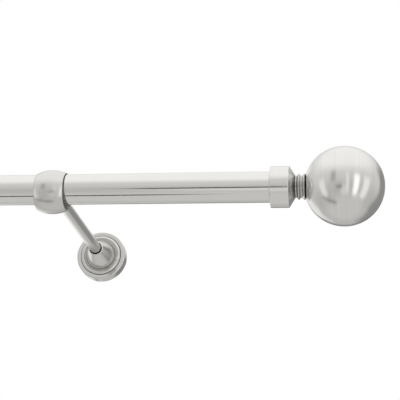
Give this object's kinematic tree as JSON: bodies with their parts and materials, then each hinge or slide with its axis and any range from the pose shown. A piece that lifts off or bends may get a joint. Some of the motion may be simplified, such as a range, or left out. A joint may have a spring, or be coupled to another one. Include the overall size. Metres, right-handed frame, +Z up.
{
  "type": "curtain rod with brackets",
  "caption": "Satin nickel curtain rod held off the wall by ring brackets on straight round arms with bell rosettes, with ball end finials.",
  "frame": {"origin": "centre of the four wall screw holes: on the wall plane, midway between the two brackets, at the height of the rod", "axes": "+X along the rod, +Y into the wall, +Z up"},
  "size_m": [1.3256, 0.1754, 0.0508],
  "materials": {
    "rod_nickel": "satin nickel plating, fine grain along the rod",
    "turned_nickel": "satin nickel plating, turned grain around the ring",
    "arm_nickel": "satin nickel plating on a drawn bar",
    "rosette_nickel": "satin nickel plating, turned",
    "cap_nickel": "satin nickel plating, turned",
    "ball_nickel": "satin nickel plating, fine grain around the rod axis",
    "zinc_steel": "bright zinc plating",
    "black_steel": "black oxide"
  },
  "bodies": {
    "brackets": {"wall_plate_left": "zinc_steel", "wall_stud_left": "zinc_steel", "arm_left": "arm_nickel", "ring_head_left": "turned_nickel", "wall_plate_right": "zinc_steel", "wall_stud_right": "zinc_steel", "arm_right": "arm_nickel", "ring_head_right": "turned_nickel"},
    "rod": {"rod_tube": "rod_nickel"},
    "clamp_screw_left": {"clamp_screw_left": "black_steel"},
    "rosette_left": {"rosette_left": "rosette_nickel"},
    "finial_left": {"end_cap_left": "cap_nickel", "finial_stud_left": "zinc_steel"},
    "cap_screw_left": {"cap_screw_left": "black_steel"},
    "neck_ring_left": {"neck_ring_left": "cap_nickel"},
    "ball_left": {"ball_left": "ball_nickel", "ball_insert_left": "zinc_steel"},
    "clamp_screw_right": {"clamp_screw_right": "black_steel"},
    "rosette_right": {"rosette_right": "rosette_nickel"},
    "finial_right": {"end_cap_right": "cap_nickel", "finial_stud_right": "zinc_steel"},
    "cap_screw_right": {"cap_screw_right": "black_steel"},
    "neck_ring_right": {"neck_ring_right": "cap_nickel"},
    "ball_right": {"ball_right": "ball_nickel", "ball_insert_right": "zinc_steel"}
  },
  "joints": [
    {"name": "rod_slide", "type": "slide", "parent": "brackets", "child": "rod", "axis": [1, 0, 0], "range_m": [-0.132, 0.132]},
    {"name": "clamp_screw_turn_left", "type": "hinge", "parent": "brackets", "child": "clamp_screw_left", "pos_m": [-0.448, -0.15, 0], "axis": [0, 0.7071, -0.7071], "range_deg": [0, 720]},
    {"name": "rosette_slide_left", "type": "slide", "parent": "brackets", "child": "rosette_left", "axis": [0, -1, 0], "range_m": [0, 0.109]},
    {"name": "finial_pull_left", "type": "slide", "parent": "rod", "child": "finial_left", "axis": [-1, 0, 0], "range_m": [0, 0.015]},
    {"name": "cap_screw_turn_left", "type": "hinge", "parent": "finial_left", "child": "cap_screw_left", "pos_m": [-0.596, -0.15, 0], "axis": [0, 0.7071, -0.7071], "range_deg": [0, 720]},
    {"name": "neck_ring_shift_left", "type": "slide", "parent": "finial_left", "child": "neck_ring_left", "axis": [-1, 0, 0], "range_m": [0, 0.0061]},
    {"name": "ball_turn_left", "type": "hinge", "parent": "neck_ring_left", "child": "ball_left", "pos_m": [-0.6373, -0.15, 0], "axis": [-1, 0, 0], "range_deg": [0, 2160]},
    {"name": "clamp_screw_turn_right", "type": "hinge", "parent": "brackets", "child": "clamp_screw_right", "pos_m": [0.448, -0.15, 0], "axis": [0, 0.7071, -0.7071], "range_deg": [0, 720]},
    {"name": "rosette_slide_right", "type": "slide", "parent": "brackets", "child": "rosette_right", "axis": [0, -1, 0], "range_m": [0, 0.109]},
    {"name": "finial_pull_right", "type": "slide", "parent": "rod", "child": "finial_right", "axis": [1, 0, 0], "range_m": [0, 0.015]},
    {"name": "cap_screw_turn_right", "type": "hinge", "parent": "finial_right", "child": "cap_screw_right", "pos_m": [0.596, -0.15, 0], "axis": [0, 0.7071, -0.7071], "range_deg": [0, 720]},
    {"name": "neck_ring_shift_right", "type": "slide", "parent": "finial_right", "child": "neck_ring_right", "axis": [1, 0, 0], "range_m": [0, 0.0061]},
    {"name": "ball_turn_right", "type": "hinge", "parent": "neck_ring_right", "child": "ball_right", "pos_m": [0.6373, -0.15, 0], "axis": [1, 0, 0], "range_deg": [0, 2160]}
  ],
  "couplings": [
    {"joint": "neck_ring_shift_left", "follows": "ball_turn_left", "m_per_rad": 0.00015915},
    {"joint": "neck_ring_shift_right", "follows": "ball_turn_right", "m_per_rad": 0.00015915}
  ]
}
